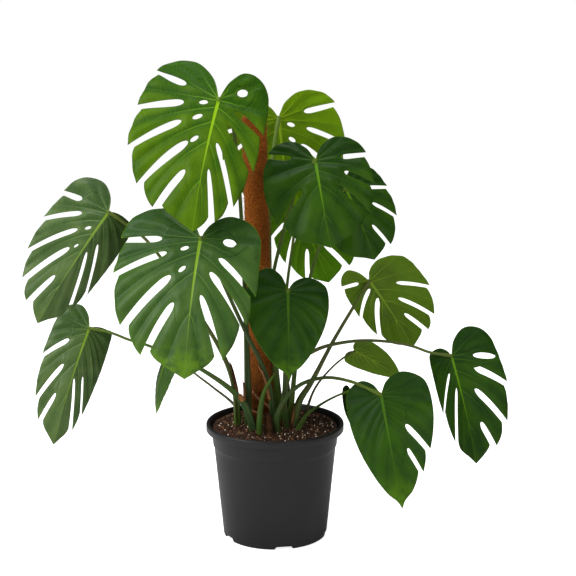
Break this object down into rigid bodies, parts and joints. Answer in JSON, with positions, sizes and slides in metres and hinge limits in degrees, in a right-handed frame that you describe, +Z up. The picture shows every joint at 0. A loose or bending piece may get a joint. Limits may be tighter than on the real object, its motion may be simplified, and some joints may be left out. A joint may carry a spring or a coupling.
{
  "type": "potted swiss cheese plant",
  "caption": "Swiss cheese plant with split and holed leaves on arching stalks, tied round a coir pole in a black tapered nursery pot.",
  "frame": {"origin": "centre of the pot's flat underside", "axes": "+Z up, the front side with the large facing leaves looks along -Y, +X to the viewer's right"},
  "size_m": [0.876, 0.4145, 0.8771],
  "materials": {
    "pot_plastic": "satin moulded polypropylene",
    "potting_soil": "rough peat and bark with perlite",
    "stake_wood": "rough wood",
    "coir_fibre": "matted coconut fibre",
    "leaf": "satin waxy leaf, paler veins and underside",
    "young_shoot": "smooth rolled new leaf",
    "old_bark": "dry brown bark"
  },
  "bodies": {
    "root": {"pot": "pot_plastic", "soil": "potting_soil", "pole_stake": "stake_wood", "coir_sleeve": "coir_fibre", "young_shoot": "young_shoot", "old_stem": "old_bark", "aerial_root_upper": "old_bark", "aerial_root_lower": "old_bark", "leaf_top_left": "leaf", "leaf_middle_left": "leaf", "leaf_outer_left_upper": "leaf", "leaf_outer_left_lower": "leaf", "leaf_front_heart": "leaf", "leaf_right_heart": "leaf", "leaf_outer_right": "leaf", "leaf_right_turned": "leaf", "leaf_top_back": "leaf", "leaf_top_right": "leaf", "leaf_back_lower": "leaf", "leaf_small_right": "leaf", "leaf_right_upper": "leaf", "leaf_small_left": "leaf", "leaf_small_back": "leaf"}
  },
  "joints": []
}
